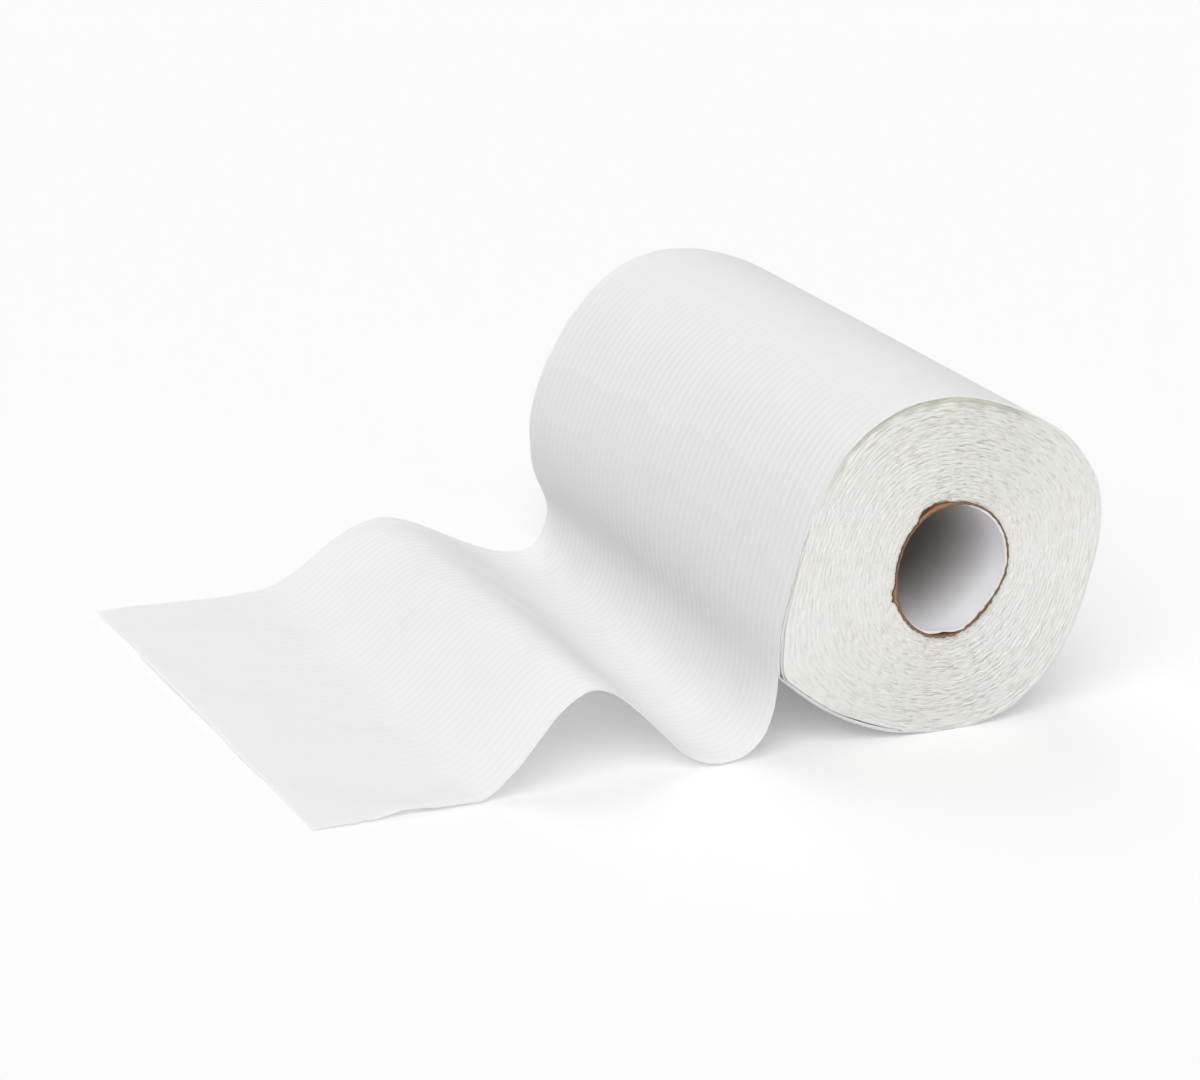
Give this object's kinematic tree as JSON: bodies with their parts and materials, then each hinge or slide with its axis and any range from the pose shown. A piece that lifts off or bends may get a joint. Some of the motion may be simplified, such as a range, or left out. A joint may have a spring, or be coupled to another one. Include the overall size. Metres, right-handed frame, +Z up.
{
  "type": "paper towel roll",
  "caption": "Soft paper towel roll lying on its side, wound on an open cardboard core, with the free end of its sheet run out in a wave over the floor.",
  "frame": {"origin": "on the flat that the roll rests on, straight below the roll's axis and halfway along its width", "axes": "+Y along the roll's axis to its far end, +Z up, and -X towards the free end of the sheet"},
  "size_m": [0.294, 0.2, 0.1195],
  "materials": {
    "towel_paper": "matte",
    "kraft_board": "matte",
    "white_liner": "matte"
  },
  "bodies": {
    "root": {"towel_web": "towel_paper", "core_outer_ply": "kraft_board", "core_inner_ply": "white_liner"}
  },
  "joints": []
}
